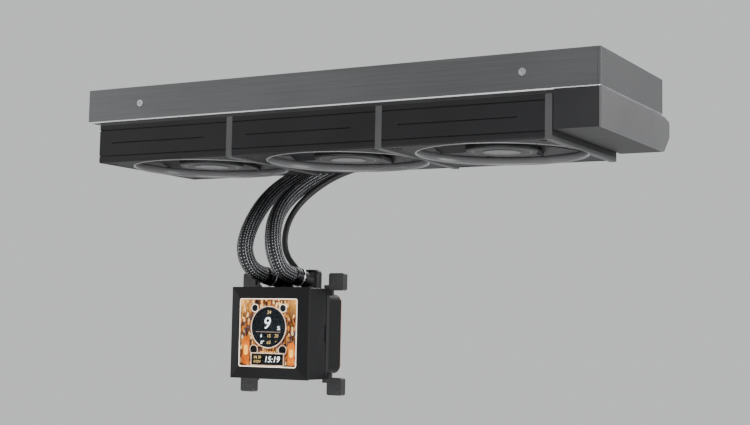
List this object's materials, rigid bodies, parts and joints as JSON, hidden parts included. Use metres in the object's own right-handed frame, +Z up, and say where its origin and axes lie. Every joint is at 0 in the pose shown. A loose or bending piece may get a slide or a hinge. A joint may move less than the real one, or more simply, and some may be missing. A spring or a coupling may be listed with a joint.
{
  "type": "liquid cooling radiator",
  "caption": "Sealed liquid cooler: a long flat radiator with fans under it, covers round two sides, braided hoses and a pump block with a square screen.",
  "frame": {"origin": "middle of the radiator's top face, at the centre of the middle fan's case screw pattern", "axes": "+X along the radiator towards its end housing, +Y from the screen's viewer towards the processor, +Z up out of the radiator's top face"},
  "size_m": [0.4027, 0.1424, 0.224],
  "materials": {
    "cover_aluminium": "brushed along the radiator's length",
    "radiator_black": "satin black paint",
    "charcoal_plastic": "matte",
    "light_grey_plastic": "satin",
    "impeller_plastic": "satin",
    "steel": "satin",
    "screw_black": "black oxide",
    "bearing_brass": "satin",
    "winding_copper": "enamelled",
    "plate_copper": "ground flat",
    "board_green": "gloss",
    "hose_sleeve": "black braid with silver fleck",
    "cable_rubber": "smooth",
    "ferrule_metal": "satin with a bright rim",
    "elbow_plastic": "gloss",
    "bezel_metal": "satin dark grey",
    "shell_plastic": "matte",
    "screen_glass": "clear",
    "screen_panel": "lit display",
    "bracket_metal": "satin light grey",
    "base_plastic": "matte"
  },
  "bodies": {
    "cooler": {"radiator_tubes": "radiator_black", "radiator_fins": "radiator_black", "header_plates": "radiator_black", "left_tank": "radiator_black", "right_tank": "radiator_black", "tank_baffle": "radiator_black", "side_rail_front": "radiator_black", "side_rail_back": "radiator_black", "front_cover": "cover_aluminium", "end_cover": "cover_aluminium", "cover_screws": "screw_black", "end_housing": "charcoal_plastic", "end_cap": "light_grey_plastic", "port_pipe_upper": "steel", "port_pipe_lower": "steel", "tank_ferrules": "ferrule_metal", "hose_upper": "hose_sleeve", "hose_lower": "hose_sleeve", "pump_cable": "cable_rubber", "cable_grommets": "cable_rubber", "elbow_left": "elbow_plastic", "elbow_right": "elbow_plastic", "pump_ferrules": "ferrule_metal", "fan_screws": "screw_black", "screen_bezel": "bezel_metal", "screen_glass": "screen_glass", "screen_panel": "screen_panel", "pump_shell": "shell_plastic", "shell_back": "shell_plastic", "control_board": "board_green", "pump_stator": "winding_copper", "mount_bracket": "bracket_metal", "pump_base": "base_plastic", "cold_plate": "plate_copper", "plate_screws": "steel", "pump_shaft": "steel", "fan_1_frame": "charcoal_plastic", "fan_1_rail": "light_grey_plastic", "fan_1_bearing": "bearing_brass", "fan_1_stator": "winding_copper", "fan_2_frame": "charcoal_plastic", "fan_2_rail": "light_grey_plastic", "fan_2_bearing": "bearing_brass", "fan_2_stator": "winding_copper", "fan_3_frame": "charcoal_plastic", "fan_3_rail": "light_grey_plastic", "fan_3_bearing": "bearing_brass", "fan_3_stator": "winding_copper"},
    "fan_1_rotor": {"fan_1_impeller": "impeller_plastic", "fan_1_hub_disc": "steel", "fan_1_shaft": "steel"},
    "fan_2_rotor": {"fan_2_impeller": "impeller_plastic", "fan_2_hub_disc": "steel", "fan_2_shaft": "steel"},
    "fan_3_rotor": {"fan_3_impeller": "impeller_plastic", "fan_3_hub_disc": "steel", "fan_3_shaft": "steel"},
    "pump_rotor": {"pump_impeller": "impeller_plastic"}
  },
  "joints": [
    {"name": "fan_1_spin", "type": "hinge", "parent": "cooler", "child": "fan_1_rotor", "pos_m": [-0.12, 0, -0.042], "axis": [0, 0, 1], "continuous": true},
    {"name": "fan_2_spin", "type": "hinge", "parent": "cooler", "child": "fan_2_rotor", "pos_m": [0, 0, -0.042], "axis": [0, 0, 1], "continuous": true},
    {"name": "fan_3_spin", "type": "hinge", "parent": "cooler", "child": "fan_3_rotor", "pos_m": [0.12, 0, -0.042], "axis": [0, 0, 1], "continuous": true},
    {"name": "pump_spin", "type": "hinge", "parent": "cooler", "child": "pump_rotor", "pos_m": [-0.0695, 0.045, -0.1785], "axis": [0, 1, 0], "continuous": true}
  ]
}
